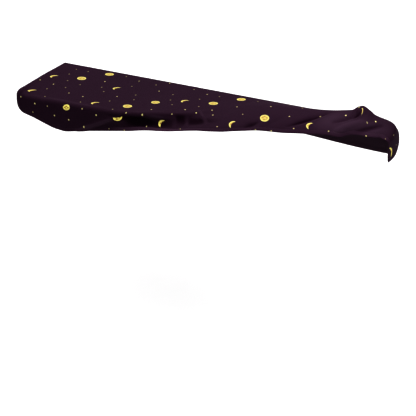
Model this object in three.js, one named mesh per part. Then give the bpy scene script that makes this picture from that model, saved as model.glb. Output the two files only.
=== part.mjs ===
// Fitted cover of stretch cloth, long and narrow. Its left half is drawn tight, with a level
// top and hanging skirts. At the right its front edge has been pushed back, so that the cloth
// is bunched up there and its front skirt lies forwards, open.
// Millimetres. X runs along the length, Y from the front to the back and Z up.
// The origin is the middle of the underside of the taut top.

import * as THREE from 'three';

// Driving dimensions. All outlines are those of the cloth's inner face.
const HALF_LENGTH = 662;        // middle to either end
const HALF_DEPTH = 147;         // middle to front or back
const LEFT_FLARE = 9;           // how much further out the left end stands at its back
const FRONT_CORNER = 29;        // rounding of the upright front left corner, seen from above
const BACK_CORNER = 8;          // rounding of the upright back left corner
const CORNER_SAG = -8;          // height of the edge at the front left corner
const SAG_REACH = 0.65;         // share of the left end along which the edge rises from there
const CORNER_HEM = -86;         // height of the hem there
const SKIRT = 96;               // drop of the skirts at the back
const RIGHT_DROP = 8;           // how much lower the back skirt hangs at the right end
const HEM_WAVE = 3;             // unevenness of the back hem
const WAVE_LENGTH = 690;
const CLOTH = 1.8;              // thickness of the cloth
const HEM = 2.8;                // thickness of the turned hem

// How a fitted skirt hangs: the rounding of its edge, how far it bulges out, the height of that
// bulge as a share of the hem's, and how far the hem is tucked in
const frontFit = { bend: 13, bulge: 17, low: 0.85, tuck: 4 };
const backFit = { bend: 8, bulge: 4, low: 0.55, tuck: 1 };
const RIGHT_BACK_BEND = 15;     // rounding of the back edge at the right end

// Where the fitted cloth gives way to loose cloth, and where it is wholly loose
const LOOSE_FROM = -160;
const LOOSE_BY = 120;

// Rows of the cloth, from the back edge to the front hem
const TOP_ROWS = 16;
const BEND_ROWS = 3;
const SKIRT_ROWS = 6;
const FRONT_ROWS = TOP_ROWS + BEND_ROWS + SKIRT_ROWS;
const CORNER_STEPS = 2;         // steps in half an upright corner
const END_REACH = 160;          // how far in from the left end its rounded outline is felt

// Stations along the length, closer together where the cloth is bunched
const stationSteps = [
  { upTo: -300, step: 33 },
  { upTo: 200, step: 22 },
  { upTo: 634, step: 13 },
];

// Sections of the front, from the left corner to the right end. The edge is the fold between
// the top and the front skirt, the hem is its free border, and the knee draws the cloth
// between them outwards. From x = -150 on, the edge has been pushed back and the skirt lies
// forwards instead of hanging.
const frontSections = [
  { x: -633, edgeY: -147, edgeZ: -12, bend: 13, kneeY: -161, kneeZ: -74, hemY: -144, hemZ: -90 },
  { x: -595, edgeY: -147, edgeZ: -18, bend: 12, kneeY: -155, kneeZ: -68, hemY: -146, hemZ: -96 },
  { x: -536, edgeY: -147, edgeZ: -18, bend: 11, kneeY: -150, kneeZ: -60, hemY: -147, hemZ: -111 },
  { x: -490, edgeY: -147, edgeZ: -15, bend: 11, kneeY: -150, kneeZ: -64, hemY: -147, hemZ: -121 },
  { x: -452, edgeY: -147, edgeZ: -13, bend: 11, kneeY: -150, kneeZ: -64, hemY: -147, hemZ: -123 },
  { x: -389, edgeY: -147, edgeZ: -12, bend: 11, kneeY: -150, kneeZ: -58, hemY: -147, hemZ: -111 },
  { x: -279, edgeY: -147, edgeZ: -6, bend: 11, kneeY: -150, kneeZ: -46, hemY: -148, hemZ: -87 },
  { x: -190, edgeY: -147, edgeZ: 0, bend: 11, kneeY: -150, kneeZ: -32, hemY: -149, hemZ: -66 },
  { x: -150, edgeY: -146, edgeZ: 5, bend: 11, kneeY: -149, kneeZ: -26, hemY: -151, hemZ: -57 },
  { x: -112, edgeY: -142, edgeZ: 10, bend: 10, kneeY: -147, kneeZ: -30, hemY: -155, hemZ: -46 },
  { x: -61, edgeY: -136, edgeZ: 18, bend: 9, kneeY: -145, kneeZ: -26, hemY: -159, hemZ: -33 },
  { x: -20, edgeY: -124, edgeZ: 20, bend: 9, kneeY: -137, kneeZ: -20, hemY: -160, hemZ: -26 },
  { x: 20, edgeY: -106, edgeZ: 19, bend: 9, kneeY: -126, kneeZ: -12, hemY: -159, hemZ: -19 },
  { x: 59, edgeY: -80, edgeZ: 17, bend: 11, kneeY: -106, kneeZ: -6, hemY: -158, hemZ: -10 },
  { x: 95, edgeY: -42, edgeZ: 14, bend: 14, kneeY: -112, kneeZ: 3, hemY: -154, hemZ: -3 },
  { x: 132, edgeY: 2, edgeZ: 13, bend: 18, kneeY: -112, kneeZ: 13, hemY: -149, hemZ: 2 },
  { x: 190, edgeY: 40, edgeZ: 16, bend: 24, kneeY: -92, kneeZ: 20, hemY: -130, hemZ: 3 },
  { x: 240, edgeY: 66, edgeZ: 18, bend: 26, kneeY: -66, kneeZ: 24, hemY: -101, hemZ: 3 },
  { x: 299, edgeY: 82, edgeZ: 21, bend: 26, kneeY: -42, kneeZ: 27, hemY: -73, hemZ: 4 },
  { x: 359, edgeY: 92, edgeZ: 23, bend: 26, kneeY: -28, kneeZ: 29, hemY: -60, hemZ: 4 },
  { x: 416, edgeY: 100, edgeZ: 25, bend: 24, kneeY: -8, kneeZ: 30, hemY: -40, hemZ: 4 },
  { x: 459, edgeY: 108, edgeZ: 28, bend: 22, kneeY: 4, kneeZ: 32, hemY: -26, hemZ: 4 },
  { x: 500, edgeY: 113, edgeZ: 34, bend: 20, kneeY: 18, kneeZ: 34, hemY: -14, hemZ: 3 },
  { x: 526, edgeY: 116, edgeZ: 39, bend: 18, kneeY: 26, kneeZ: 37, hemY: -12, hemZ: 2 },
  { x: 542, edgeY: 117, edgeZ: 52, bend: 13, kneeY: 36, kneeZ: 37, hemY: 4, hemZ: 4 },
  { x: 556, edgeY: 116, edgeZ: 58, bend: 12, kneeY: 44, kneeZ: 35, hemY: 14, hemZ: 5 },
  { x: 577, edgeY: 112, edgeZ: 51, bend: 16, kneeY: 50, kneeZ: 31, hemY: 22, hemZ: 4 },
  { x: 598, edgeY: 107, edgeZ: 40, bend: 18, kneeY: 56, kneeZ: 24, hemY: 27, hemZ: 1 },
  { x: 634, edgeY: 106, edgeZ: 32, bend: 20, kneeY: 66, kneeZ: 15, hemY: 44, hemZ: -3 },
];

// Sections of the right end, from its front round to its back. The cloth turns from lying
// forwards to hanging down the end.
const rightSections = [
  { at: 0.14, bend: 10, edge: [652, 80, 15], knee: [660, 58, 2], hem: [657, 35, -6] },
  { at: 0.28, bend: 16, edge: [661, 90, 19], knee: [667, 64, -10], hem: [662, 33, -21] },
  { at: 0.42, bend: 20, edge: [664, 100, 22], knee: [670, 76, -30], hem: [663, 39, -48] },
  { at: 0.56, bend: 22, edge: [665, 108, 16], knee: [671, 90, -46], hem: [665, 49, -79] },
  { at: 0.7, bend: 22, edge: [664, 118, 8], knee: [673, 106, -56], hem: [666, 81, -90] },
  { at: 0.82, bend: 22, edge: [662, 130, 2], knee: [675, 124, -60], hem: [667, 113, -97] },
  { at: 0.92, bend: 24, edge: [657, 141, -1], knee: [676, 149, -62], hem: [666, 145, -103] },
];

// Soft ridges and troughs in the cloth. Each runs from one point to another, has the width of
// its rounded section, and rises out of the cloth or, below zero, sinks into it.
const folds = [
  { from: [-372, -147, -100], to: [-166, -147, -4], width: 13, rise: 5 },
  { from: [-330, -147, -104], to: [-150, -147, -24], width: 13, rise: -4 },
  { from: [-160, -149, -26], to: [-20, -134, -4], width: 14, rise: -4 },
  { from: [82, -63, 12], to: [132, -109, 9], width: 14, rise: 4 },
  { from: [258, -80, 11], to: [279, -54, 17], width: 12, rise: -5 },
  { from: [389, -23, 19], to: [453, 61, 28], width: 11, rise: -6 },
  { from: [499, 32, 28], to: [558, 84, 50], width: 15, rise: -7 },
  { from: [511, 1, 15], to: [562, 47, 30], width: 13, rise: 4 },
  { from: [576, 29, 13], to: [620, 70, 19], width: 10, rise: -4 },
];
const FOLD_START = 0.12;        // a fold swells and fades as this part to the rest of a sine wave

const point = (x, y, z) => new THREE.Vector3(x, y, z);
const { lerp, mapLinear, smoothstep } = THREE.MathUtils;

// Reads one column of a table at any place, along a smooth curve that never overshoots its rows
function smoothColumn(rows, place, value) {
  const slopes = rows.slice(1).map((row, i) =>
    (value(row) - value(rows[i])) / (row[place] - rows[i][place]));
  const tangents = rows.map((_, i) => {
    const before = slopes[Math.max(i - 1, 0)];
    const after = slopes[Math.min(i, slopes.length - 1)];
    return before * after <= 0 ? 0 : 2 * before * after / (before + after);
  });
  return (at) => {
    let i = 0;
    while (i < rows.length - 2 && at > rows[i + 1][place]) i += 1;
    const width = rows[i + 1][place] - rows[i][place];
    const t = THREE.MathUtils.clamp((at - rows[i][place]) / width, 0, 1);
    const start = value(rows[i]);
    const end = value(rows[i + 1]);
    const ease = t * t * (3 - 2 * t);
    return lerp(start, end, ease)
      + width * t * (1 - t) * ((1 - t) * tangents[i] - t * tangents[i + 1]);
  };
}

// Way of the cloth from where it leaves the top: round the edge, and by the knee to the hem
function skirtCurves({ start, edge, bend, knee, hem }) {
  const leave = edge.clone().addScaledVector(knee.clone().sub(edge).normalize(), bend);
  return {
    round: new THREE.QuadraticBezierCurve3(start, edge, leave),
    fall: new THREE.QuadraticBezierCurve3(leave, knee, hem),
  };
}

// Its points below the top, in rows
function skirtPoints(column) {
  const { round, fall } = skirtCurves(column);
  return [...round.getPoints(BEND_ROWS).slice(1), ...fall.getPoints(SKIRT_ROWS).slice(1)];
}

// A column where the cover fits, bending straight down over the edge
function fittedColumn(edge, outward, hemZ, { bend, bulge, low, tuck }) {
  const level = (reach, z) => edge.clone().addScaledVector(outward, reach).setZ(z);
  return {
    start: level(-bend, edge.z / 2), edge, bend,
    knee: level(bulge, hemZ * low), hem: level(-tuck, hemZ),
  };
}

const depthShare = (y) => mapLinear(y, -HALF_DEPTH, HALF_DEPTH, 0, 1);
const leftEnd = (y) => -HALF_LENGTH - LEFT_FLARE * depthShare(y) ** 2;

// Upright corner at the left end; turn runs from 0 at the end to 1 at the long side
function cornerColumn(signY, turn) {
  const atFront = signY < 0;
  const radius = atFront ? FRONT_CORNER : BACK_CORNER;
  const angle = turn * Math.PI / 2;
  const outward = point(-Math.cos(angle), signY * Math.sin(angle), 0);
  const middleY = signY * (HALF_DEPTH - radius);
  const edge = point(leftEnd(middleY) + radius, middleY, atFront ? CORNER_SAG : 0)
    .addScaledVector(outward, radius);
  const hemZ = atFront ? lerp(CORNER_HEM, frontSections[0].hemZ, turn ** 2) : -SKIRT;
  return fittedColumn(edge, outward, hemZ, atFront ? frontFit : backFit);
}

// The left end's skirt, whose fit changes from that of the front corner to that of the back
function leftColumn(y) {
  const share = depthShare(y);
  const fit = Object.fromEntries(Object.keys(frontFit).map((name) =>
    [name, lerp(frontFit[name], backFit[name], share)]));
  const edge = point(leftEnd(y), y, CORNER_SAG * (1 - smoothstep(share, 0, SAG_REACH)));
  return fittedColumn(edge, point(-1, 0, 0), lerp(CORNER_HEM, -SKIRT, share), fit);
}

function backColumn(x) {
  const towardsRight = smoothstep(x, HALF_LENGTH / 2, HALF_LENGTH);
  const hemZ = -SKIRT - RIGHT_DROP * towardsRight + HEM_WAVE * Math.sin(2 * Math.PI * x / WAVE_LENGTH);
  const bend = lerp(backFit.bend, RIGHT_BACK_BEND, towardsRight);
  return fittedColumn(point(x, HALF_DEPTH, 0), point(0, 1, 0), hemZ, { ...backFit, bend });
}

const front = Object.fromEntries(Object.keys(frontSections[0]).map((name) =>
  [name, smoothColumn(frontSections, 'x', (row) => row[name])]));

function frontColumn(x) {
  const edge = point(x, front.edgeY(x), front.edgeZ(x));
  const bend = front.bend(x);
  const towardsBack = backColumn(x).start.sub(edge).normalize();
  return {
    start: edge.clone().addScaledVector(towardsBack, bend), edge, bend,
    knee: point(x, front.kneeY(x), front.kneeZ(x)),
    hem: point(x, front.hemY(x), front.hemZ(x)),
  };
}

// Rows of the cloth from the back edge to the front hem. Where the cover fits, they keep to
// the top, the bend and the skirt; where it is pushed back, they are evenly spaced.
function sectionPoints(back, column, loose) {
  const { round, fall } = skirtCurves(column);
  const path = new THREE.CurvePath();
  path.curves.push(new THREE.LineCurve3(back, column.start), round, fall);
  const ends = path.getCurveLengths();
  const length = ends[2];
  return Array.from({ length: FRONT_ROWS + 1 }, (_, row) => {
    let fitted = ends[0] * row / TOP_ROWS;
    if (row > TOP_ROWS) fitted = lerp(ends[0], ends[1], (row - TOP_ROWS) / BEND_ROWS);
    if (row > TOP_ROWS + BEND_ROWS) {
      fitted = lerp(ends[1], length, (row - TOP_ROWS - BEND_ROWS) / SKIRT_ROWS);
    }
    return path.getPoint(Math.min(1, lerp(fitted / length, row / FRONT_ROWS, loose)));
  });
}

// Stations along the length
const stations = [-HALF_LENGTH + FRONT_CORNER];
for (const { upTo, step } of stationSteps) {
  const from = stations.at(-1);
  const count = Math.round((upTo - from) / step);
  for (let i = 1; i <= count; i += 1) stations.push(lerp(from, upTo, i / count));
}
const halfCorner = Array.from({ length: CORNER_STEPS }, (_, i) => 0.5 + 0.5 * i / CORNER_STEPS);

// The four sides. The back and front ones run from left to right, the ends from back to front.
const backSide = [...halfCorner.map((turn) => cornerColumn(1, turn)), ...stations.map(backColumn)];
const sections = [
  ...halfCorner.map((turn, i) => sectionPoints(backSide[i].start, cornerColumn(-1, turn), 0)),
  ...stations.map((x) =>
    sectionPoints(backColumn(x).start, frontColumn(x), smoothstep(x, LOOSE_FROM, LOOSE_BY))),
];
const leftRows = TOP_ROWS - 2 * CORNER_STEPS;
const leftSide = [
  ...halfCorner.map((turn) => cornerColumn(1, 1 - turn)),
  ...Array.from({ length: leftRows + 1 }, (_, i) =>
    leftColumn(lerp(HALF_DEPTH - BACK_CORNER, FRONT_CORNER - HALF_DEPTH, i / leftRows))),
  ...halfCorner.map((turn) => cornerColumn(-1, 1 - turn)).reverse(),
];

// The right end fans out from the last section. Its own table is closed by the front part of
// that section, read at three of its rows counted from the hem, and by the back skirt.
const lastRows = { edge: -8, knee: -4, hem: -1 };
const lastBend = 8;
const lastSection = sections.at(-1);
const lastPoints = Object.fromEntries(Object.entries(lastRows).map(([name, row]) =>
  [name, lastSection.at(row)]));
const rightRows = [
  { at: 0, bend: lastBend, ...lastPoints },
  ...rightSections.map(({ at, bend, edge, knee, hem }) =>
    ({ at, bend, edge: point(...edge), knee: point(...knee), hem: point(...hem) })),
  { at: 1, ...backColumn(stations.at(-1)) },
];
const rightBend = smoothColumn(rightRows, 'at', (row) => row.bend);
const right = Object.fromEntries(['edge', 'knee', 'hem'].map((name) => [name,
  ['x', 'y', 'z'].map((axis) => smoothColumn(rightRows, 'at', (row) => row[name][axis]))]));

function rightColumn(at, start) {
  const read = (curves) => point(...curves.map((curve) => curve(at)));
  return {
    start, edge: read(right.edge), bend: rightBend(at), knee: read(right.knee), hem: read(right.hem),
  };
}

// How far all the folds together move a point of the cloth
function foldHeight(p) {
  let height = 0;
  for (const { from, to, width, rise } of folds) {
    const line = new THREE.Line3(point(...from), point(...to));
    const along = line.closestPointToPointParameter(p, true);
    const distance = line.at(along, new THREE.Vector3()).distanceTo(p);
    const swell = Math.sin(Math.PI * lerp(FOLD_START, 1 - FOLD_START, along));
    height += rise * swell * Math.exp(-((distance / width) ** 2));
  }
  return height;
}

// The cloth's inner face: a grid over the top and strips of rows down the four sides
function clothFace() {
  const points = [];
  const faces = [];
  const add = (p) => points.push(p) - 1;
  const apart = (a, b) => points[a].distanceTo(points[b]);
  const quad = (a, b, c, d) => faces.push(
    ...(apart(a, c) < apart(b, d) ? [[a, b, c], [a, c, d]] : [[a, b, d], [b, c, d]]));

  // Top, drawn to the rounded outline of the left end
  const top = sections.map((section) => section.slice(0, TOP_ROWS + 1).map((p, row) => {
    const near = Math.max(0, 1 - p.distanceTo(sections[0][row]) / END_REACH) ** 2;
    const draw = leftSide[row].start.clone().sub(sections[0][row]);
    return add(p.clone().addScaledVector(draw, near));
  }));
  for (let i = 1; i < top.length; i += 1) {
    for (let row = 0; row < TOP_ROWS; row += 1) {
      quad(top[i - 1][row], top[i - 1][row + 1], top[i][row + 1], top[i][row]);
    }
  }

  // Strips, anticlockwise from above: front, right end, back, left end
  const last = top.length - 1;
  const strips = [
    ...sections.map((section, i) => ({ first: top[i][TOP_ROWS], rest: section.slice(TOP_ROWS + 1) })),
    ...sections[last].slice(1, TOP_ROWS).map((start, i) => ({
      first: top[last][i + 1],
      rest: skirtPoints(rightColumn(1 - (i + 1) / TOP_ROWS, start)),
    })).reverse(),
    ...backSide.map((column, i) => ({ first: top[i][0], rest: skirtPoints(column) })).reverse(),
    ...leftSide.slice(1, -1).map((column, i) =>
      ({ first: top[0][i + 1], rest: skirtPoints(column) })),
  ];
  let above = strips.map(({ first }) => first);
  for (let row = 0; row < BEND_ROWS + SKIRT_ROWS; row += 1) {
    const below = strips.map(({ rest }) => add(rest[row]));
    for (let i = 0; i < below.length; i += 1) {
      const next = (i + 1) % below.length;
      quad(above[i], below[i], below[next], above[next]);
    }
    above = below;
  }
  return { points, faces, hem: above };
}

function vertexNormals(points, faces) {
  const normals = points.map(() => new THREE.Vector3());
  const triangle = new THREE.Triangle();
  const normal = new THREE.Vector3();
  for (const [a, b, c] of faces) {
    triangle.set(points[a], points[b], points[c]);
    triangle.getNormal(normal).multiplyScalar(triangle.getArea());
    for (const corner of [a, b, c]) normals[corner].add(normal);
  }
  return normals.map((n) => n.normalize());
}

// The closed sheet: the folded inner face, the outer face a cloth's thickness outside it,
// and the rim that joins them along the hem
function clothSheet() {
  const { points, faces, hem } = clothFace();
  const plainNormals = vertexNormals(points, faces);
  const inner = points.map((p, i) => p.clone().addScaledVector(plainNormals[i], foldHeight(p)));
  const normals = vertexNormals(inner, faces);
  const isHem = new Set(hem);
  const outer = inner.map((p, i) => p.clone().addScaledVector(normals[i], isHem.has(i) ? HEM : CLOTH));
  const shift = inner.length;
  const triangles = [
    ...faces.map((face) => face.map((corner) => corner + shift)),
    ...faces.map(([a, b, c]) => [a, c, b]),
  ];
  hem.forEach((a, i) => {
    const b = hem[(i + 1) % hem.length];
    triangles.push([a + shift, a, b], [a + shift, b, b + shift]);
  });
  const geometry = new THREE.BufferGeometry();
  geometry.setAttribute('position', new THREE.Float32BufferAttribute(
    [...inner, ...outer].flatMap((p) => p.toArray()), 3));
  geometry.setIndex(triangles.flat());
  geometry.computeVertexNormals();
  return geometry;
}

const printedCloth = new THREE.MeshStandardMaterial({ color: 0x2a1a26, roughness: 0.85, metalness: 0 });
const cover = new THREE.Mesh(clothSheet(), printedCloth);
cover.name = 'cover';

const object = new THREE.Group();
object.add(cover);

export default object;
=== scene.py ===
# A fitted cover of printed stretch cloth, long and narrow, with a turned and stitched hem.
# Its left half is drawn tight. At the right its front edge has been pushed back, so the cloth
# is bunched up there and its front skirt lies forwards.

import math

import bpy
import numpy as np
from mathutils import Matrix, Vector


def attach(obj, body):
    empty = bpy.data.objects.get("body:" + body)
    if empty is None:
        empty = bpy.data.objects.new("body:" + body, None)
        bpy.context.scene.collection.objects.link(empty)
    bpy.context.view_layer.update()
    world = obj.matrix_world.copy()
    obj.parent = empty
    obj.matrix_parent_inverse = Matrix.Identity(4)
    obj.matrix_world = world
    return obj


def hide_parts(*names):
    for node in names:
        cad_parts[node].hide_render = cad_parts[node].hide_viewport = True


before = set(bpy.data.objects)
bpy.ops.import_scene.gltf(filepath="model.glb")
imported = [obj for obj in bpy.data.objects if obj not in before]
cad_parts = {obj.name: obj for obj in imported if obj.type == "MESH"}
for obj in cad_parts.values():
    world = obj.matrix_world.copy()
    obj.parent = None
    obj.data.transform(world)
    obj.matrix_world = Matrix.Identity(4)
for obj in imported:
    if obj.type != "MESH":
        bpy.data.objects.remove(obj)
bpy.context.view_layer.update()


# Way of the cloth
# One piece of stretch cloth, cut and sewn to a shallow tray with rounded corners, upside down.
# It is held by nothing but its own fit. Millimetres; every outline is that of its inner face.

# The level top, fuller at its left end towards the back, and the radii of its corners
half_length = 662
half_depth = 147
left_flare = 9
front_corner = 29
back_corner = 8

# The front left corner sags: height of its edge and its hem, and the share of the depth it takes
corner_sag = -8
corner_hem = -86
sag_reach = 0.65

# The hem at the back is a little wavy, and lower at the right, where the edge is rounder too
skirt_drop = 96
right_drop = 8
hem_wave = 3
wave_length = 690
right_back_bend = 15

# Where the front is pushed back, from the first of these places to the second, the rows come to
# be spread evenly over the whole way, those of the top over this share of it
loose_from, loose_by = -160, 120
loose_top = 0.64

# How far into the top the rounded left end draws the rows along
end_reach = 160

# Bend of the edge, bulge, height of the bulge as a share of the hem's, and tuck of the hem
front_fit = np.array([13, 17, 0.85, 4])
back_fit = np.array([8, 4, 0.55, 1])

# Sections of the front: x, edge y and z, bend, knee y and z, hem y and z
front_sections = np.array([
    [-633, -147, -12, 13, -161, -74, -144, -90],
    [-595, -147, -18, 12, -155, -68, -146, -96],
    [-536, -147, -18, 11, -150, -60, -147, -111],
    [-490, -147, -15, 11, -150, -64, -147, -121],
    [-452, -147, -13, 11, -150, -64, -147, -123],
    [-389, -147, -12, 11, -150, -58, -147, -111],
    [-279, -147, -6, 11, -150, -46, -148, -87],
    [-190, -147, 0, 11, -150, -32, -149, -66],
    [-150, -146, 5, 11, -149, -26, -151, -57],
    [-112, -142, 10, 10, -147, -30, -155, -46],
    [-61, -136, 18, 9, -145, -26, -159, -33],
    [-20, -124, 20, 9, -137, -20, -160, -26],
    [20, -106, 19, 9, -126, -12, -159, -19],
    [59, -80, 17, 11, -106, -6, -158, -10],
    [95, -42, 14, 14, -112, 3, -154, -3],
    [132, 2, 13, 18, -112, 13, -149, 2],
    [190, 40, 16, 24, -92, 20, -130, 3],
    [240, 66, 18, 26, -66, 24, -101, 3],
    [299, 82, 21, 26, -42, 27, -73, 4],
    [359, 92, 23, 26, -28, 29, -60, 4],
    [416, 100, 25, 24, -8, 30, -40, 4],
    [459, 108, 28, 22, 4, 32, -26, 4],
    [500, 113, 34, 20, 18, 34, -14, 3],
    [526, 116, 39, 18, 26, 37, -12, 2],
    [542, 117, 52, 13, 36, 37, 4, 4],
    [556, 116, 58, 12, 44, 35, 14, 5],
    [577, 112, 51, 16, 50, 31, 22, 4],
    [598, 107, 40, 18, 56, 24, 27, 1],
    [634, 106, 32, 20, 66, 15, 44, -3],
])

# Sections of the right end, from its front to its back: place, bend, edge, knee, hem
right_sections = [
    [0.14, 10, (652, 80, 15), (660, 58, 2), (657, 35, -6)],
    [0.28, 16, (661, 90, 19), (667, 64, -10), (662, 33, -21)],
    [0.42, 20, (664, 100, 22), (670, 76, -30), (663, 39, -48)],
    [0.56, 22, (665, 108, 16), (671, 90, -46), (665, 49, -79)],
    [0.70, 22, (664, 118, 8), (673, 106, -56), (666, 81, -90)],
    [0.82, 22, (662, 130, 2), (675, 124, -60), (667, 113, -97)],
    [0.92, 24, (657, 141, -1), (676, 149, -62), (666, 145, -103)],
]

# Rows of the cloth from the back edge to the hem; the last ones are set by their distance to it
top_rows, bend_rows, fall_rows = 50, 6, 27
seam_height = 12.2
hem_rows = np.array([18, 15, 13.4, seam_height, 11, 7.5, 4, 1.4, 0])
skirt_rows = bend_rows + fall_rows + len(hem_rows) - 1

# Steps in half a corner, and the steps between the sections along the length: up to where, how wide
corner_steps = 8
station_steps = ((-300, 4.8), (200, 4.4), (634, 3.9))

# Points that draw a skirt's way, round its edge and on down to its hem
bend_points, fall_points = 25, 65


def smoothstep(value, low, high):
    """Soft step from 0 to 1 between two limits."""
    share = np.clip((value - low) / (high - low), 0, 1)
    return share * share * (3 - 2 * share)


def smooth_table(places, values, at):
    """Reads a table at any place, along smooth curves that never overshoot its rows."""
    places = np.asarray(places, float)
    values = np.asarray(values, float)
    slopes = np.diff(values, axis=0) / np.diff(places)[:, None]
    before = np.vstack([slopes[:1], slopes])
    after = np.vstack([slopes, slopes[-1:]])
    same_way = before * after > 0
    tangents = np.where(same_way, 2 * before * after / np.where(same_way, before + after, 1), 0)
    i = int(np.clip(np.searchsorted(places, at) - 1, 0, len(places) - 2))
    width = places[i + 1] - places[i]
    t = float(np.clip((at - places[i]) / width, 0, 1))
    ease = t * t * (3 - 2 * t)
    level = values[i] + (values[i + 1] - values[i]) * ease
    return level + width * t * (1 - t) * ((1 - t) * tangents[i] - t * tangents[i + 1])


def bow(start, middle, end, count):
    """A smooth bend from start to end, drawn towards its middle."""
    t = np.linspace(0, 1, count)[:, None]
    return (1 - t) ** 2 * start + 2 * t * (1 - t) * middle + t ** 2 * end


def skirt_way(start, edge, bend, knee, hem):
    """The way of a skirt: round its edge, and by its knee to its hem."""
    leave = edge + bend * (knee - edge) / np.linalg.norm(knee - edge)
    return np.vstack([bow(start, edge, leave, bend_points), bow(leave, knee, hem, fall_points)[1:]])


def run_along(way):
    """How far along a way each of its points lies."""
    return np.concatenate([[0], np.cumsum(np.linalg.norm(np.diff(way, axis=0), axis=1))])


def walk(way, marks):
    """Places on a way, each at its mark, which is a distance along it."""
    run = run_along(way)
    return np.column_stack([np.interp(marks, run, way[:, axis]) for axis in range(3)])


def skirt_marks(bend_from, bend_to, total):
    """Marks of a skirt's rows: round the bend, down the fall and over the hem."""
    round_marks = np.linspace(bend_from, bend_to, bend_rows + 1)[1:]
    fall_marks = np.linspace(bend_to, total - hem_rows[0], fall_rows + 1)[1:]
    return np.concatenate([round_marks, fall_marks, total - hem_rows[1:]])


def fitted_column(edge, outward, hem_z, fit):
    """A column where the cover fits, bending straight down over the edge."""
    bend, bulge, low, tuck = fit
    start = edge - outward * bend
    knee = edge + outward * bulge
    hem = edge - outward * tuck
    start[2] = edge[2] / 2
    knee[2] = hem_z * low
    hem[2] = hem_z
    return start, edge, bend, knee, hem


def outward_at(turn, side):
    """Outward direction in an upright corner; turn is 0 at the left end and 1 at the long side."""
    angle = turn * math.pi / 2
    return np.array([-math.cos(angle), side * math.sin(angle), 0])


def share_of_depth(y):
    """0 at the front and 1 at the back."""
    return (y + half_depth) / (2 * half_depth)


def left_end_at(y):
    """The left end, which stands out a little more towards its back."""
    return -half_length - left_flare * share_of_depth(y) ** 2


def corner_column(side, turn):
    """A column in a left corner; side is 1 at the back and -1 at the front."""
    at_front = side < 0
    radius = front_corner if at_front else back_corner
    middle_y = side * (half_depth - radius)
    middle = np.array([left_end_at(middle_y) + radius, middle_y, corner_sag * at_front])
    outward = outward_at(turn, side)
    edge = middle + outward * radius
    if not at_front:
        return fitted_column(edge, outward, -skirt_drop, back_fit)
    front_hem = front_sections[0, 7]
    hem_z = corner_hem + (front_hem - corner_hem) * turn ** 2
    return fitted_column(edge, outward, hem_z, front_fit)


def left_column(y):
    """A column at the left end, lower towards the front."""
    share = share_of_depth(y)
    edge = np.array([left_end_at(y), y, corner_sag * (1 - smoothstep(share, 0, sag_reach))])
    hem_z = corner_hem - (skirt_drop + corner_hem) * share
    return fitted_column(edge, outward_at(0, 1), hem_z, front_fit + (back_fit - front_fit) * share)


def back_column(x):
    """A column at the back, lower and rounder over the right half."""
    to_right = smoothstep(x, half_length / 2, half_length)
    wave = hem_wave * math.sin(2 * math.pi * x / wave_length)
    hem_z = wave - skirt_drop - right_drop * to_right
    fit = back_fit.copy()
    fit[0] += (right_back_bend - fit[0]) * to_right
    return fitted_column(np.array([x, half_depth, 0.0]), outward_at(1, 1), hem_z, fit)


def front_column(x):
    """A column at the front, from the table of its sections."""
    row = smooth_table(front_sections[:, 0], front_sections[:, 1:], x)
    edge = np.array([x, row[0], row[1]])
    to_back = back_column(x)[0] - edge
    start = edge + row[2] * to_back / np.linalg.norm(to_back)
    return start, edge, row[2], np.array([x, row[3], row[4]]), np.array([x, row[5], row[6]])


def section(back, column, loose):
    """One section from the back edge to the front hem: its whole way, and its rows' marks on it."""
    way = np.vstack([back, skirt_way(*column)])
    run = run_along(way)
    total = run[-1]
    fitted = np.concatenate([
        np.linspace(0, run[1], top_rows + 1),
        skirt_marks(run[1], run[bend_points], total),
    ])
    free = np.concatenate([
        np.linspace(0, loose_top * total, top_rows + 1),
        np.linspace(loose_top * total, total - hem_rows[0], bend_rows + fall_rows + 1)[1:],
        total - hem_rows[1:],
    ])
    return way, fitted + (free - fitted) * loose


def skirt(column):
    """The rows of a skirt below its first point: their places and their marks."""
    way = skirt_way(*column)
    run = run_along(way)
    marks = skirt_marks(0, run[bend_points - 1], run[-1])
    return walk(way, marks), marks


stations = [front_corner - half_length]
for up_to, step in station_steps:
    count = round((up_to - stations[-1]) / step)
    stations += list(np.linspace(stations[-1], up_to, count + 1)[1:])
turns = [0.5 + 0.5 * i / corner_steps for i in range(corner_steps)]
left_rows = top_rows - 2 * corner_steps

back_side = [corner_column(1, turn) for turn in turns] + [back_column(x) for x in stations]
front_side = [corner_column(-1, turn) for turn in turns] + [front_column(x) for x in stations]
looseness = [0] * corner_steps + [smoothstep(x, loose_from, loose_by) for x in stations]
side_turns = turns + [1] * len(stations)
left_side = [corner_column(1, 1 - turn) for turn in turns]
for y in np.linspace(half_depth - back_corner, front_corner - half_depth, left_rows + 1):
    left_side.append(left_column(y))
left_side += [corner_column(-1, 1 - turn) for turn in reversed(turns)]

# The cloth's inner face: a grid over the top and strips of rows down the four sides. Each point
# keeps its place on the flat cloth, for the print, and its distance to the hem.
points = []
flat_places = []
hem_distances = []
quads = []


def add_point(place, flat_place, hem_distance):
    points.append(place)
    flat_places.append(flat_place)
    hem_distances.append(hem_distance)
    return len(points) - 1


sections = [section(back[0], column, loose) for back, column, loose in zip(back_side, front_side, looseness)]
section_points = [walk(way, marks) for way, marks in sections]
first_head = section_points[0][:top_rows + 1]
left_starts = np.array([column[0] for column in left_side])

# The top: near its left end the rows move along with that end's rounded outline
top = []
for (way, marks), row_points in zip(sections, section_points):
    head = row_points[:top_rows + 1]
    near = np.clip(1 - np.linalg.norm(head - first_head, axis=1) / end_reach, 0, 1) ** 2
    drawn = head + (left_starts - first_head) * near[:, None]
    top.append([
        add_point(place, (place[0], head[0][1] - mark), marks[-1] - mark)
        for place, mark in zip(drawn, marks)
    ])
for left, right in zip(top, top[1:]):
    for row in range(top_rows):
        quads.append((left[row], left[row + 1], right[row + 1], right[row]))

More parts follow.
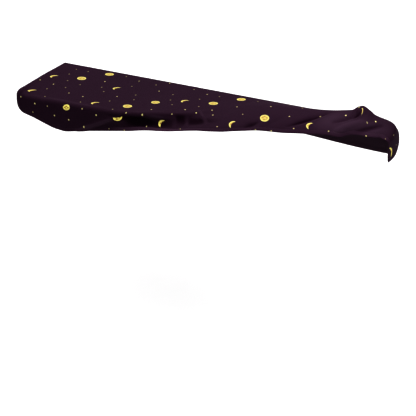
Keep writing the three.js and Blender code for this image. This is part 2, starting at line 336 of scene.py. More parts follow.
# The right end fans out from the last section, and closes on the back skirt. The last section
# has its edge, knee and hem at these shares of its way, and this bend.
last_shares = np.array([0.72, 0.88, 1])
last_bend = 8
last_way, last_marks = sections[-1]
last_edge, last_knee, last_hem = walk(last_way, last_shares * last_marks[-1])
edge, bend, knee, hem = back_side[-1][1:]
right_rows = [
    [0, last_bend, last_edge, last_knee, last_hem],
    *right_sections,
    [1, bend, edge, knee, hem],
]
right_places = [row[0] for row in right_rows]
right_values = [[row[1], *row[2], *row[3], *row[4]] for row in right_rows]

# Strips: first point, the points below it, their run from it, and their places on the flat cloth
strips = []


def add_strip(first, below, run, outward):
    strips.append((first, below, run, flat_places[first] + run[:, None] * outward[:2]))


for i, (way, marks) in enumerate(sections):
    run = marks[top_rows + 1:] - marks[top_rows]
    add_strip(top[i][top_rows], section_points[i][top_rows + 1:], run, outward_at(side_turns[i], -1))

# On the flat cloth the right end's skirt turns its corners over these shares of the depth
front_turn, back_turn = (0.2, 0), (0.75, 1)
for row in range(top_rows - 1, 0, -1):
    at = 1 - row / top_rows
    bend, *rest = smooth_table(right_places, right_values, at)
    edge, knee, hem = np.reshape(rest, (3, 3))
    below, run = skirt((section_points[-1][row], edge, bend, knee, hem))
    moved = below - section_points[-1][row]
    turn = smoothstep(at, *back_turn) - smoothstep(at, *front_turn)
    dropped = -moved[:, 2:] * -outward_at(-turn, 1)[:2]
    strips.append((top[-1][row], below, run, flat_places[top[-1][row]] + moved[:, :2] + dropped))

# The back and the left end, and so on round to the front
for i in reversed(range(len(back_side))):
    add_strip(top[i][0], *skirt(back_side[i]), outward_at(side_turns[i], 1))
for row in range(1, top_rows):
    to_back = max(0, corner_steps - row) / corner_steps / 2
    to_front = max(0, row - top_rows + corner_steps) / corner_steps / 2
    add_strip(top[0][row], *skirt(left_side[row]), outward_at(to_back + to_front, 1 if to_back else -1))

# Each strip is joined to the next one, row by row down to the hem
rings = [[first for first, below, run, flat in strips]]
for k in range(skirt_rows):
    ring = [add_point(below[k], tuple(flat[k]), run[-1] - run[k]) for first, below, run, flat in strips]
    for i, above in enumerate(rings[-1]):
        following = (i + 1) % len(ring)
        quads.append((above, ring[i], ring[following], rings[-1][following]))
    rings.append(ring)
hem_ring = np.array(rings[-1])
seam_ring = np.array(rings[bend_rows + fall_rows + list(hem_rows).index(seam_height)])

points = np.array(points)
flat_places = np.array(flat_places)
hem_distances = np.array(hem_distances)
quads = np.array(quads)


# Folds of the cloth
# Soft ridges and troughs where the cloth is pulled or bunched: the main folds, then smaller ones,
# whose height also paints shade into their troughs and a highlight onto their ridges. A row is a
# fold's start, end and width, and how far it rises out of the cloth or, below zero, sinks into it.

main_folds = [
    [(-372, -147, -100), (-166, -147, -4), 13, 5],
    [(-330, -147, -104), (-150, -147, -24), 13, -4],
    [(-160, -149, -26), (-20, -134, -4), 14, -4],
    [(82, -63, 12), (132, -109, 9), 14, 4],
    [(258, -80, 11), (279, -54, 17), 12, -5],
    [(389, -23, 19), (453, 61, 28), 11, -6],
    [(499, 32, 28), (558, 84, 50), 15, -7],
    [(511, 1, 15), (562, 47, 30), 13, 4],
    [(576, 29, 13), (620, 70, 19), 10, -4],
]
small_folds = [
    [(-385, -150, -104), (-170, -152, -8), 5, 4],
    [(-375, -150, -118), (-180, -152, -29), 6, -3],
    [(-225, -149, -16), (-65, -146, -5), 9, -4],
    [(-162, -151, -30), (-70, -150, -12), 16, -4.5],
    [(-110, -150, -17), (50, -140, 0), 13, -3.5],
    [(-79, -140, 10), (17, -119, 4), 7, 3],
    [(12, -112, 13), (30, -138, -10), 7, 3],
    [(0, -122, 10), (150, -92, 11), 22, -4.6],
    [(-590, -132, -14), (-240, -132, -5), 7, 2],
    [(50, -92, 10), (68, -128, -4), 7, 3],
    [(74, -52, 17), (136, -113, 11), 7, 3],
    [(248, -86, 7), (282, -42, 17), 8, -3],
    [(370, -36, 15), (466, 76, 30), 7, -4],
    [(494, 26, 25), (552, 72, 38), 9, -3],
    [(546, 60, 36), (558, 94, 50), 8, -4],
    [(506, -8, 12), (572, 54, 30), 9, 3],
    [(568, 24, 11), (626, 74, 19), 7, -3.5],
    [(541, 80, 43), (545, 100, 53), 6, -3],
    [(300, -70, 12), (352, 30, 21), 14, -1.5],
    [(455, -30, 18), (520, 90, 38), 40, 2.5],
    [(540, 0, 20), (610, 80, 28), 36, 2],
    [(600, 20, 8), (650, 90, 16), 30, 2],
]

# A fold swells along its length like a half wave with this share cut off at both ends
fold_start = 0.12


def normals_of(places):
    """Which way the cloth faces at each point."""
    a, b, c, d = (places[quads[:, corner]] for corner in range(4))
    faces = np.cross(c - a, d - b)
    normals = np.zeros_like(places)
    for corner in range(4):
        np.add.at(normals, quads[:, corner], faces)
    return normals / np.linalg.norm(normals, axis=1)[:, None]


def fold_height(places, rows):
    """How far the folds lift each point out of the cloth."""
    height = np.zeros(len(places))
    for start, end, width, rise in rows:
        way = np.subtract(end, start).astype(float)
        along = np.clip((places - start) @ way / (way @ way), 0, 1)
        distance = np.linalg.norm(places - start - along[:, None] * way, axis=1)
        swell = np.sin(math.pi * (fold_start + (1 - 2 * fold_start) * along))
        height += rise * swell * np.exp(-(distance / width) ** 2)
    return height


points += normals_of(points) * fold_height(points, main_folds)[:, None]
small_heights = fold_height(points, small_folds)
points += normals_of(points) * small_heights[:, None]
normals = normals_of(points)


# Print
# Golden moons, crescents and stars on a dark plum ground, printed before the cloth was sewn.
# Places on the flat cloth, rounded, in millimetres: along the length, and towards the back.

# The stretched cloth pulls the moons out of round, each in its own way. A row is a moon's kind,
# strength of colour, place, width and height, how far it leans and how many degrees it is turned.
# One with a width below zero is seen mirrored, where the cloth turns over.
# A strength above 1 paints light onto moons of the front skirt and the right end: brighter gold against
# their shade.
moons = [
    ("moon", 1, -501, 47, 37, 28, 0.4, 18),
    ("moon", 1, -420, 115, 35, 24, 0.3, 21),
    ("moon", 1, -183, -95, 34, 27, 0.4, 13),
    ("moon", 1, -104, -42, 32, 26, 0.4, 11),
    ("moon", 1, 80, 29, 31, 27, 0, 30),
    ("moon", 1, 146, 105, 30, 28, 0, 26),
    ("moon", 1.5, -412, -155, 32, 20, -0.25, 9),
    ("moon", 1, 290, -25, 28, 38, 0.1, 19),
    ("half moon", 1.5, -186, -158, 34, 28, -0.23, 0),
    ("crescent", 1, -611, 15, 38, 19, 0, 23),
    ("crescent", 1, -606, -93, 37, 23, 0.05, 11),
    ("crescent", 1, -311, 20, 39, 22, 0.1, 9),
    ("crescent", 1, -308, -109, 40, 21, 0.15, 7),
    ("crescent", 1, -10, 0, 33, 26, 0, 15),
    ("crescent", 1.4, -16, -154, 33, 25, -0.05, 21),
    ("crescent", 1, 214, -90, 26, 35, 0, 23),
    ("crescent", 1, 436, -18, 26, 28, 0.1, 16),
    ("crescent", 1, 559, 50, -7.5, 26, -0.2, 21),
    ("crescent", 1.5, 737, 41, -46, 25, 1.1, 60),
]
# Stars: strength of colour, width, and where they are
stars = [
    (1, 7.5, [(-563, -162), (-477, -196), (-411, -201), (-279, -163), (-340, -215), (-90, -142)]),
    (1, 5.2, [(71, -69), (125, -56), (358, 8), (517, 51), (606, 61), (596, -1)]),
    (0.8, 6, [
        (-573, -30), (-396, 55), (-276, 106), (-462, -73), (-153, 54), (19, 95), (-628, -153), (-393, -78),
        (-271, -37), (-76, -108), (27, -65), (106, -27), (-503, -163), (-340, -149), (-582, -199),
        (-154, -142), (-164, -204), (-73, -179), (170, 25), (274, 59), (370, 86), (-159, 133), (310, 132),
    ]),
    (0.7, 5, [
        (6, -112), (-233, -209), (56, -152), (215, -25), (173, -117), (392, -42), (492, -24), (546, 70),
        (332, -72),
    ]),
    (0.4, 6, [
        (-577, 98), (-517, 106), (-575, 55), (-639, -27), (-542, 12), (-346, 122), (-196, 99), (-508, -38),
        (-469, -1), (-376, 10), (-273, 56), (-570, -66), (-345, -18), (-214, -4), (-87, 41), (-46, 116),
        (-534, -122), (-195, -41), (-65, -9), (20, 41), (-372, -117), (-273, -77), (-35, -46), (52, -20),
        (-219, -131), (67, 96), (206, 108), (443, 45), (285, -83), (585, 33), (663, 9), (689, 59),
    ]),
]
kind_numbers = {"moon": 1, "half moon": 2, "crescent": 3}
star_number = 4
drawn_size = 32


def motif(u, v, kind, strength, width, height, lean=0, turn=0):
    """A motif's row, with the matrix that draws it upright, round and as wide as drawn_size."""
    across, up = math.cos(math.radians(turn)), math.sin(math.radians(turn))
    leaned = np.array([[1 / width, lean / width], [0, 1 / height]])
    upright = drawn_size * leaned @ [[across, up], [-up, across]]
    return [u, v, kind, strength, *upright.ravel()]


motifs = [
    motif(u, v, kind_numbers[kind], strength, width, height, lean, turn)
    for kind, strength, u, v, width, height, lean, turn in moons
]
for strength, width, places in stars:
    motifs += [motif(u, v, star_number, strength, width, width) for u, v in places]

# The same print again on the sides that face away, moved by each repeat, where nothing is near
shown_left, shown_right, shown_back = -672, 652, 150
repeats = ((54, 290), (1310, 0), (-1310, 0))
plain_moon, plain_star = 32, 6
moon_space, star_space = 40, 14
for shift_u, shift_v in repeats:
    for u, v, kind, strength, *upright in list(motifs):
        u, v = u + shift_u, v + shift_v
        shown = shown_left < u < shown_right and v < shown_back
        width, space = (plain_star, star_space) if kind == star_number else (plain_moon, moon_space)
        free_way = min(math.hypot(u - other[0], v - other[1]) for other in motifs)
        if not shown and free_way > space:
            motifs.append(motif(u, v, kind, strength, width, width))

# Each face of the cloth takes the nearest motif, and its corners their way within it
motifs = np.array(motifs)
uprights = motifs[:, 4:].reshape(-1, 2, 2)
quad_middles = flat_places[quads].mean(axis=1)
nearest = np.zeros(len(quads), dtype=int)
least_gap = np.full(len(quads), np.inf)
for number, (place, upright) in enumerate(zip(motifs[:, :2], uprights)):
    reach = np.linalg.norm((quad_middles - place) @ upright.T, axis=1)
    gap = (reach - drawn_size / 2) / math.sqrt(abs(np.linalg.det(upright)))
    nearest = np.where(gap < least_gap, number, nearest)
    least_gap = np.minimum(gap, least_gap)
ways = flat_places[quads] - motifs[nearest, None, :2]
motif_offsets = np.einsum("fij,fcj->fci", uprights[nearest], ways)
motif_kind = motifs[nearest, 2]
motif_strength = motifs[nearest, 3]


# Cloth sheet
# The cloth itself, a fine warp knit 1.2 mm thick, with its hem turned inwards 12 mm wide and
# sewn down all round. The printed face is outside, the plain wrong side inside.

cloth_outside = 1.8
cloth_thickness = 1.2
hem_roll = 0.8

# How far the turned hem stands out on its two faces, by the distance to its fold
hem_profile_at = [0, 1.4, 4, 7.5, 11, seam_height, 13.4, 15]
hem_profile_out = [0.2, 0.5, 0.65, 0.6, 0.1, -0.25, -0.05, 0]
hem_profile_in = [-0.3, -0.6, -0.7, -0.7, -0.6, -0.4, -0.15, 0]

outside = cloth_outside + np.interp(hem_distances, hem_profile_at, hem_profile_out)
inside = cloth_outside - cloth_thickness + np.interp(hem_distances, hem_profile_at, hem_profile_in)
outer = points + normals * outside[:, None]
inner = points + normals * inside[:, None]
downward = outer[hem_ring] - outer[seam_ring]
downward /= np.linalg.norm(downward, axis=1)[:, None]
fold_of_hem = (outer[hem_ring] + inner[hem_ring]) / 2 + downward * hem_roll

# The outer face, the inner face turned the other way, and the hem's fold, which closes them
point_count = len(points)
face_count = len(quads)
fold_ring = np.arange(len(hem_ring)) + 2 * point_count
next_hem = np.roll(hem_ring, -1)
next_fold = np.roll(fold_ring, -1)
rim_outside = np.column_stack([hem_ring, fold_ring, next_fold, next_hem])
rim_inside = np.column_stack([fold_ring, hem_ring + point_count, next_hem + point_count, next_fold])
all_faces = np.vstack([quads, quads[:, ::-1] + point_count, rim_outside, rim_inside])
all_points = np.vstack([outer, inner, fold_of_hem]) / 1000

cloth_mesh = bpy.data.meshes.new("cover_cloth")
cloth_mesh.from_pydata(all_points.tolist(), [], all_faces.tolist())
cloth_mesh.shade_smooth()

# What the material reads: places on the flat cloth and in the motif, the motif's kind and
# strength, the distance to the hem and the height of the small folds
out_of_reach = 0.5
all_flat = np.vstack([flat_places, flat_places, flat_places[hem_ring]]) / 1000
cloth_map = cloth_mesh.uv_layers.new(name="flat_cloth")
cloth_map.data.foreach_set("uv", all_flat[all_faces].ravel())
all_offsets = np.full((len(all_faces), 4, 2), out_of_reach)
all_offsets[:face_count] = motif_offsets / 1000
motif_map = cloth_mesh.uv_layers.new(name="motif")
motif_map.data.foreach_set("uv", all_offsets.ravel())
for name, values in (("motif_kind", motif_kind), ("motif_strength", motif_strength)):
    full = np.zeros(len(all_faces))
    full[:face_count] = values
    cloth_mesh.attributes.new(name, "FLOAT", "FACE").data.foreach_set("value", full)
for name, values in (("hem_distance", hem_distances / 1000), ("fold_height", small_heights)):
    full = np.concatenate([values, values, values[hem_ring]])
    cloth_mesh.attributes.new(name, "FLOAT", "POINT").data.foreach_set("value", full)
cloth_mesh.validate()


def new_object(name, data):
    """An object put into the scene, at the origin."""
    made = bpy.data.objects.new(name, data)
    bpy.context.scene.collection.objects.link(made)
    return made


cloth = new_object("cover_cloth", cloth_mesh)


def socket_of(sockets, name):
    """The one socket of that name, among those that are in use."""
    return next(socket for socket in sockets if socket.name == name and socket.enabled)


def set_values(node, values):
    """Sets a node's sockets by their names."""
    for name, value in values.items():
        node.inputs[name].default_value = value


class Nodes:
    """A node tree, with short ways to add its nodes and to link them."""

    def __init__(self, tree):
        self.tree = tree

    def add(self, kind, **settings):
        node = self.tree.nodes.new(kind)
        for name, value in settings.items():
            setattr(node, name, value)
        return node

    def feed(self, socket, value):
        """Links a socket to another one, or gives it a plain value."""
        if isinstance(value, bpy.types.NodeSocket):
            self.tree.links.new(value, socket)
        else:
            socket.default_value = value

    def compute(self, operation, *values):
        node = self.add("ShaderNodeMath", operation=operation)
        for socket, value in zip(node.inputs, values):
            self.feed(socket, value)
        return node.outputs[0]

    def plus(self, first, second):
        return self.compute("ADD", first, second)

    def times(self, first, second):
        return self.compute("MULTIPLY", first, second)

    def ramp(self, value, low, high, to_low=0.0, to_high=1.0):
        """Soft step from one value to another between two limits."""
        node = self.add("ShaderNodeMapRange", interpolation_type="SMOOTHSTEP")
        self.feed(socket_of(node.inputs, "Value"), value)
        self.feed(socket_of(node.inputs, "From Min"), low)
        self.feed(socket_of(node.inputs, "From Max"), high)
        self.feed(socket_of(node.inputs, "To Min"), to_low)
        self.feed(socket_of(node.inputs, "To Max"), to_high)
        return node.outputs[0]

    def blend(self, share, first, second):
        """A colour between two others."""
        node = self.add("ShaderNodeMix", data_type="RGBA")
        self.feed(socket_of(node.inputs, "Factor"), share)
        self.feed(socket_of(node.inputs, "A"), first)
        self.feed(socket_of(node.inputs, "B"), second)
        return socket_of(node.outputs, "Result")

    def noise(self, place, scale, detail=2.0):
        node = self.add("ShaderNodeTexNoise")
        self.feed(node.inputs["Vector"], place)
        self.feed(node.inputs["Scale"], scale)
        self.feed(node.inputs["Detail"], detail)
        return node.outputs["Fac"]

    def map_place(self, name):
        return self.add("ShaderNodeUVMap", uv_map=name).outputs[0]

    def attribute(self, name):
        return self.add("ShaderNodeAttribute", attribute_name=name).outputs["Fac"]

    def split(self, place):
        node = self.add("ShaderNodeSeparateXYZ")
        self.feed(node.inputs[0], place)
        return node.outputs

    def relief(self, shader, height, strength, depth):
        """Fine relief of a surface, as deep as this in metres."""
        bump = self.add("ShaderNodeBump")
        set_values(bump, {"Strength": strength, "Distance": depth})
        self.feed(bump.inputs["Height"], height)
        self.feed(shader.inputs["Normal"], bump.outputs["Normal"])


def new_material(name):
    """A material, its nodes, and its shader."""
    material = bpy.data.materials.new(name)
    material.use_nodes = True
    return material, Nodes(material.node_tree), material.node_tree.nodes["Principled BSDF"]


def new_socket(tree, in_out, kind, name):
    return tree.interface.new_socket(name, in_out=in_out, socket_type="NodeSocket" + kind)


def colour(red, green, blue):
    """A screen colour, 0 to 255, as the linear colour that a shader takes."""
    shares = [channel / 255 for channel in (red, green, blue)]
    return tuple(s / 12.92 if s <= 0.04045 else ((s + 0.055) / 1.055) ** 2.4 for s in shares) + (1,)


# Fine warp knit, the same on both sides: upright wales and, across them, slanted courses. Its
# mottle is made of fine and broad patches, with their scale per metre and their share. The wales
# are this wide in metres on the two sides, and the relief this strong and this deep.
courses_to_a_wale = 1.3
course_slant = 1.6
course_height = 0.3
fine_scale, fine_detail, fine_share = 420.0, 3.0, 0.55
broad_scale, broad_share = 14.0, 0.45
mottle_span = (0.2, 0.8)
printed_wale, wrong_wale = 0.0007, 0.0009
knit_relief = (0.35, 0.00012)

knit_tree = bpy.data.node_groups.new("Fine warp knit", "ShaderNodeTree")
new_socket(knit_tree, "INPUT", "Vector", "Flat place")
new_socket(knit_tree, "INPUT", "Float", "Wale width")
new_socket(knit_tree, "OUTPUT", "Float", "Height")
new_socket(knit_tree, "OUTPUT", "Float", "Mottle")
knit = Nodes(knit_tree)
knit_in = knit.add("NodeGroupInput").outputs
knit_out = knit.add("NodeGroupOutput").inputs
knit_place = knit.split(knit_in["Flat place"])
across = knit.compute("DIVIDE", knit_place["X"], knit_in["Wale width"])
along = knit.compute("DIVIDE", knit_place["Y"], knit_in["Wale width"])
wale = knit.compute("ABSOLUTE", knit.compute("SINE", knit.times(across, math.pi)))
courses = knit.times(along, 2 * courses_to_a_wale * math.pi)
slanted = knit.plus(courses, knit.times(wale, course_slant))
course = knit.times(knit.compute("SINE", slanted), course_height)
fine = knit.times(knit.noise(knit_in["Flat place"], fine_scale, fine_detail), fine_share)
broad = knit.times(knit.noise(knit_in["Flat place"], broad_scale), broad_share)
knit.feed(knit_out["Height"], knit.plus(wale, course))
knit.feed(knit_out["Mottle"], knit.plus(fine, broad))


def knit_of(nodes, wale_width):
    """The knit in a material: its height and its mottle."""
    weave = nodes.add("ShaderNodeGroup", node_tree=knit_tree)
    nodes.feed(weave.inputs["Flat place"], nodes.map_place("flat_cloth"))
    nodes.feed(weave.inputs["Wale width"], wale_width)
    return weave.outputs["Height"], weave.outputs["Mottle"]


# Printed side
printed_side, printed, cloth_shader = new_material("printed_side")
knit_height, mottle = knit_of(printed, printed_wale)
motif_place = printed.map_place("motif")
kind = printed.attribute("motif_kind")
strength = printed.attribute("motif_strength")


def distance_from(centre):
    """Distance in millimetres from a point of the motif."""
    gap = printed.add("ShaderNodeVectorMath", operation="DISTANCE")
    printed.feed(gap.inputs[0], motif_place)
    gap.inputs[1].default_value = (centre[0] / 1000, centre[1] / 1000, 0)
    return printed.times(gap.outputs["Value"], 1000.0)


def is_kind(number):
    """1 on a motif of this kind, and 0 elsewhere."""
    return printed.compute("COMPARE", kind, float(number), 0.25)


# Outlines of the motifs in millimetres, each between two distances from a centre: a disc with a
# rim, the arc that leaves the half of it, the bite that leaves a crescent, and a star's glow.
# The print's edges are a little ragged.
disc_edge = (15.4, 16.3)
rim_edge = (12.4, 13.8)
half_centre, half_edge = (-16.4, 60.9), (64.6, 65.4)
bite_centre, bite_edge = (14.7, -8.8), (22.6, 23.4)
star_edge = (9.0, 17.0)
rag_scale, rag_width = 300.0, 0.8

from_middle = distance_from((0, 0))
ragged = printed.times(printed.compute("SUBTRACT", printed.noise(motif_place, rag_scale), 0.5), rag_width)
edge_run = printed.plus(from_middle, ragged)
disc = printed.ramp(edge_run, *disc_edge, 1.0, 0.0)
lower_half = printed.ramp(distance_from(half_centre), *half_edge)
bite = printed.ramp(distance_from(bite_centre), *bite_edge)
star = printed.ramp(edge_run, *star_edge, 1.0, 0.0)
half_moon = printed.times(lower_half, is_kind(kind_numbers["half moon"]))
crescent = printed.times(bite, is_kind(kind_numbers["crescent"]))
moon_part = printed.plus(printed.plus(is_kind(kind_numbers["moon"]), half_moon), crescent)
is_star = is_kind(star_number)
star_part = printed.times(printed.times(star, is_star), strength)
golden = printed.plus(printed.times(disc, moon_part), star_part)

# Craters of a moon: place and radius, with ragged and soft edges
crater_spots = ((-7, 2, 4.2), (0, 7, 3.6), (7.5, 0, 3.8), (-2, -7.5, 3.6), (5, -8, 2))
crater_rag = 6.0
crater_inside, crater_outside = 0.8, 1.2
crater_strength = 0.9

craters = 0.0
for x, y, radius in crater_spots:
    run = printed.plus(distance_from((x, y)), printed.times(ragged, crater_rag))
    spot = printed.ramp(run, radius - crater_inside, radius + crater_outside, crater_strength, 0.0)
    craters = printed.plus(craters, spot)

# Colours of the moons and stars; a moon is painted brighter the further its strength is above 1, as painted
# light against the shade on the front skirt and the right end
painted_light_range = (1.0, 1.5)
gold = colour(193, 180, 110)
rim_gold = colour(212, 204, 129)
ochre = colour(166, 136, 80)
painted_light_gold = colour(252, 240, 142)
star_gold = colour(222, 214, 150)

moon_gold = printed.blend(printed.ramp(from_middle, *rim_edge), gold, rim_gold)
moon_gold = printed.blend(printed.ramp(strength, *painted_light_range), moon_gold, painted_light_gold)
moon_gold = printed.blend(craters, moon_gold, ochre)
moon_gold = printed.blend(is_star, moon_gold, star_gold)

# Colours of the ground, with painted shade in the troughs of the small folds and a painted highlight
# on their ridges, between these heights in millimetres
plum = colour(53, 35, 49)
plum_light = colour(60, 42, 56)
painted_trough_shade = colour(28, 6, 22)
painted_ridge_highlight = colour(82, 65, 79)
painted_hem_highlight = colour(80, 59, 75)
trough_heights, trough_shade_share = (-4.0, -0.5), 0.8
ridge_heights, ridge_highlight_share = (0.3, 3.0), 0.42

fold_rise = printed.attribute("fold_height")
ground = printed.blend(mottle, plum, plum_light)
ground = printed.blend(printed.ramp(fold_rise, *trough_heights, trough_shade_share, 0.0), ground, painted_trough_shade)
ground = printed.blend(printed.ramp(fold_rise, *ridge_heights, 0.0, ridge_highlight_share), ground, painted_ridge_highlight)

# A painted highlight on the turned hem, strongest along part of the front: from one place along the
# flat cloth to another, in metres
hem_edge = (0.0118, 0.0128)
hem_highlight_from, hem_highlight_to = (-0.26, -0.14), (-0.04, 0.12)
faint_highlight_share, full_highlight_share = 0.15, 0.85

hem_distance = printed.attribute("hem_distance")
hem_band = printed.ramp(hem_distance, *hem_edge, 1.0, 0.0)
cloth_x = printed.split(printed.map_place("flat_cloth"))["X"]
highlight_rise = printed.ramp(cloth_x, *hem_highlight_from, faint_highlight_share, full_highlight_share)
highlight_fall = printed.ramp(cloth_x, *hem_highlight_to, 1.0, faint_highlight_share)
ground = printed.blend(printed.times(hem_band, printed.times(highlight_rise, highlight_fall)), ground, painted_hem_highlight)

# The seam lies in a shallow groove
groove_width, groove_depth = 0.0011, -3.0
from_seam = printed.compute("ABSOLUTE", printed.compute("SUBTRACT", hem_distance, seam_height / 1000))
groove = printed.ramp(from_seam, 0.0, groove_width, groove_depth, 0.0)

printed.feed(cloth_shader.inputs["Base Color"], printed.blend(golden, ground, moon_gold))
printed.feed(cloth_shader.inputs["Roughness"], printed.ramp(mottle, *mottle_span, 0.72, 0.86))
printed.relief(cloth_shader, printed.plus(knit_height, groove), *knit_relief)
set_values(cloth_shader, {
    "Specular IOR Level": 0.05,
    "Sheen Weight": 0.04,
    "Sheen Roughness": 0.5,
    "Sheen Tint": colour(196, 160, 190),
})

# Wrong side, dyed but not printed
wrong_side, plain, wrong_shader = new_material("wrong_side")
wrong_height, wrong_mottle = knit_of(plain, wrong_wale)
wrong_colour = plain.blend(wrong_mottle, colour(72, 56, 68), colour(84, 68, 79))
plain.feed(wrong_shader.inputs["Base Color"], wrong_colour)
plain.feed(wrong_shader.inputs["Roughness"], plain.ramp(wrong_mottle, *mottle_span, 0.8, 0.92))
plain.relief(wrong_shader, wrong_height, *knit_relief)
set_values(wrong_shader, {"Specular IOR Level": 0.1})

# The inner face and the inner half of the hem's fold show the wrong side
cloth_mesh.materials.append(printed_side)
cloth_mesh.materials.append(wrong_side)
material_index = np.zeros(len(all_faces), dtype=np.int32)
material_index[face_count:2 * face_count] = 1
material_index[2 * face_count + len(hem_ring):] = 1
cloth_mesh.polygons.foreach_set("material_index", material_index)

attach(cloth, "root")
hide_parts("cover")


# Hem stitching
# One row of lockstitch all round, in thread of the cloth's own colour, 12 mm above the hem's
# fold. It holds the turned hem down. Each stitch is a short bow of thread, sunk at its ends.

# Sizes of the stitches, in metres, and how far a bow sinks and rises, in thread radii
stitch_sizes = {"Pitch": 0.0042, "Stitch length": 0.0032, "Thread radius": 0.00024}
sunk_by, raised_by = -1.2, 2.2
bow_steps, thread_sides = 4, 6
twist_scale = 2400.0

thread, thread_nodes, thread_shader = new_material("plum_thread")
thread_place = thread_nodes.add("ShaderNodeTexCoord").outputs["Object"]
twist = thread_nodes.noise(thread_place, twist_scale)
thread_colour = thread_nodes.blend(twist, colour(46, 27, 42), colour(84, 60, 78))
thread_nodes.feed(thread_shader.inputs["Base Color"], thread_colour)
thread_nodes.relief(thread_shader, twist, 0.4, 0.0001)
set_values(thread_shader, {"Roughness": 0.6, "Specular IOR Level": 0.3})

# The seam that the stitches follow, with the way the cloth faces there
seam_mesh = bpy.data.meshes.new("hem_seam")
seam_count = len(seam_ring)
seam_edges = [(i, (i + 1) % seam_count) for i in range(seam_count)]
seam_mesh.from_pydata((outer[seam_ring] / 1000).tolist(), seam_edges, [])
faced = seam_mesh.attributes.new("cloth_normal", "FLOAT_VECTOR", "POINT")
faced.data.foreach_set("vector", normals[seam_ring].ravel())
seam = new_object("hem_seam", seam_mesh)

stitch_tree = bpy.data.node_groups.new("Stitches along a seam", "GeometryNodeTree")
new_socket(stitch_tree, "INPUT", "Geometry", "Seam")
stitch_sockets = {name: new_socket(stitch_tree, "INPUT", "Float", name) for name in stitch_sizes}
new_socket(stitch_tree, "OUTPUT", "Geometry", "Stitches")
stitches = Nodes(stitch_tree)
seam_in = stitches.add("NodeGroupInput").outputs

# Points along the seam, a pitch apart
to_curve = stitches.add("GeometryNodeMeshToCurve")
stitches.feed(to_curve.inputs["Mesh"], seam_in["Seam"])
spaced = stitches.add("GeometryNodeResampleCurve", mode="LENGTH")
stitches.feed(spaced.inputs["Curve"], to_curve.outputs[0])
stitches.feed(socket_of(spaced.inputs, "Length"), seam_in["Pitch"])

# One stitch, a bow of thread
stitch_end = stitches.times(seam_in["Stitch length"], 0.5)
stitch_start = stitches.times(stitch_end, -1.0)
sunk = stitches.times(seam_in["Thread radius"], sunk_by)
raised = stitches.times(seam_in["Thread radius"], raised_by)
bow_curve = stitches.add("GeometryNodeCurveQuadraticBezier")
bow_curve.inputs["Resolution"].default_value = bow_steps
for name, x, z in (("Start", stitch_start, sunk), ("Middle", 0.0, raised), ("End", stitch_end, sunk)):
    spot = stitches.add("ShaderNodeCombineXYZ")
    stitches.feed(spot.inputs["X"], x)
    stitches.feed(spot.inputs["Z"], z)
    stitches.feed(bow_curve.inputs[name], spot.outputs[0])
thread_round = stitches.add("GeometryNodeCurvePrimitiveCircle")
thread_round.inputs["Resolution"].default_value = thread_sides
stitches.feed(socket_of(thread_round.inputs, "Radius"), seam_in["Thread radius"])
one_stitch = stitches.add("GeometryNodeCurveToMesh")
stitches.feed(one_stitch.inputs["Curve"], bow_curve.outputs[0])
stitches.feed(one_stitch.inputs["Profile Curve"], thread_round.outputs[0])
one_stitch.inputs["Fill Caps"].default_value = True

# Each stitch lies along the seam, with its bow away from the cloth
along_seam = stitches.add("FunctionNodeAlignRotationToVector", axis="X")
stitches.feed(along_seam.inputs["Vector"], stitches.add("GeometryNodeInputTangent").outputs[0])
cloth_normal = stitches.add("GeometryNodeInputNamedAttribute", data_type="FLOAT_VECTOR")
cloth_normal.inputs["Name"].default_value = "cloth_normal"
upright = stitches.add("FunctionNodeAlignRotationToVector", axis="Z", pivot_axis="X")
stitches.feed(upright.inputs["Rotation"], along_seam.outputs[0])
stitches.feed(upright.inputs["Vector"], socket_of(cloth_normal.outputs, "Attribute"))
placed = stitches.add("GeometryNodeInstanceOnPoints")
stitches.feed(placed.inputs["Points"], spaced.outputs[0])
stitches.feed(placed.inputs["Instance"], one_stitch.outputs[0])
stitches.feed(placed.inputs["Rotation"], upright.outputs[0])
real = stitches.add("GeometryNodeRealizeInstances")
stitches.feed(real.inputs[0], placed.outputs[0])
finished = stitches.add("GeometryNodeSetMaterial")
stitches.feed(finished.inputs["Geometry"], real.outputs[0])
finished.inputs["Material"].default_value = thread
stitches.feed(stitches.add("NodeGroupOutput").inputs[0], finished.outputs[0])

sewing = seam.modifiers.new("stitches", "NODES")
sewing.node_group = stitch_tree
for name, value in stitch_sizes.items():
    sewing[stitch_sockets[name].identifier] = value
sewn = seam.evaluated_get(bpy.context.evaluated_depsgraph_get())
stitch_mesh = bpy.data.meshes.new_from_object(sewn)
stitch_mesh.name = "hem_stitching"
bpy.data.objects.remove(seam)
hem_stitching = new_object("hem_stitching", stitch_mesh)
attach(hem_stitching, "root")


# Floor, lights and camera
# A plain pale floor below, soft lights overhead, over the far floor and at the right, a small one
# at the front right, and a camera at the photograph's angle. A high-contrast view sets the dark
# cloth against the white floor.

floor_height = -0.75
floor_reach = 15

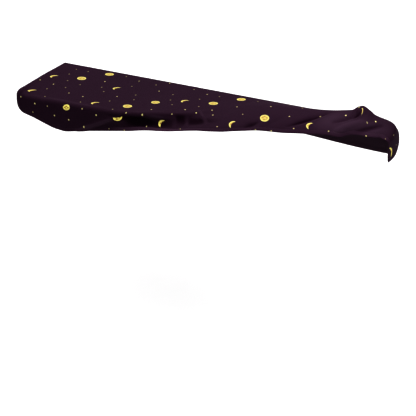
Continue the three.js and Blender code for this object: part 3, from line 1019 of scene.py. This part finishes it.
floor_mesh = bpy.data.meshes.new("floor")
floor_corners = [
    (-floor_reach, -floor_reach, floor_height),
    (floor_reach, -floor_reach, floor_height),
    (floor_reach, floor_reach, floor_height),
    (-floor_reach, floor_reach, floor_height),
]
floor_mesh.from_pydata(floor_corners, [], [(0, 1, 2, 3)])
floor = new_object("floor", floor_mesh)
pale, _, floor_shader = new_material("pale_floor")
set_values(floor_shader, {
    "Base Color": (0.9, 0.9, 0.9, 1),
    "Roughness": 0.9,
    "Specular IOR Level": 0.0,
})
floor_mesh.materials.append(pale)

world = bpy.data.worlds.new("studio")
bpy.context.scene.world = world
world.use_nodes = True
set_values(world.node_tree.nodes["Background"], {"Color": (1, 1, 1, 1), "Strength": 0.2})


def soft_light(name, place, target, width, depth, power):
    """A rectangular light at a place, facing its target; metres and watts."""
    light = bpy.data.lights.new(name, "AREA")
    light.shape = "RECTANGLE"
    light.size = width
    light.size_y = depth
    light.energy = power
    lamp = new_object(name, light)
    lamp.location = place
    lamp.rotation_euler = (Vector(target) - Vector(place)).to_track_quat("-Z", "Y").to_euler()
    return lamp


soft_light("overhead", (-0.9, 0.7, 3.6), (-0.3, 0.1, 0), 7, 5, 172)
soft_light("far_floor", (-2.3, 4.4, 2.2), (-2.3, 4.6, -0.75), 6, 3, 70)
soft_light("right", (2.0, -1.2, 2.4), (0, 0, 0), 1.0, 1.0, 21)
front_light = soft_light("front_right", (0.85, -1.0, 1.5), (0.58, 0.03, 0.02), 0.4, 0.4, 0.3)
front_light.data.spread = math.radians(35)

bpy.context.scene.view_settings.view_transform = "Standard"
bpy.context.scene.view_settings.look = "Very High Contrast"

# The camera faces 31 degrees to the left and 35 degrees down, rolled by 3 degrees; here in radians
focal_pixels = 567.95
image_pixels = 416
sensor_width = 36
camera_place = Vector((0.947, -1.4921, 0.8068))
yaw, pitch, roll = 0.5378, 0.6085, -0.0486
ahead = Vector((-math.sin(yaw) * math.cos(pitch), math.cos(yaw) * math.cos(pitch), -math.sin(pitch)))
level_right = Vector((math.cos(yaw), math.sin(yaw), 0))
level_up = level_right.cross(ahead)
right = level_right * math.cos(roll) + level_up * math.sin(roll)
up = right.cross(ahead)
lens = bpy.data.cameras.new("camera")
lens.sensor_width = sensor_width
lens.lens = focal_pixels / image_pixels * sensor_width
camera = new_object("camera", lens)
turned = Matrix((right, up, -ahead)).transposed()
camera.matrix_world = Matrix.Translation(camera_place) @ turned.to_4x4()
bpy.context.scene.camera = camera
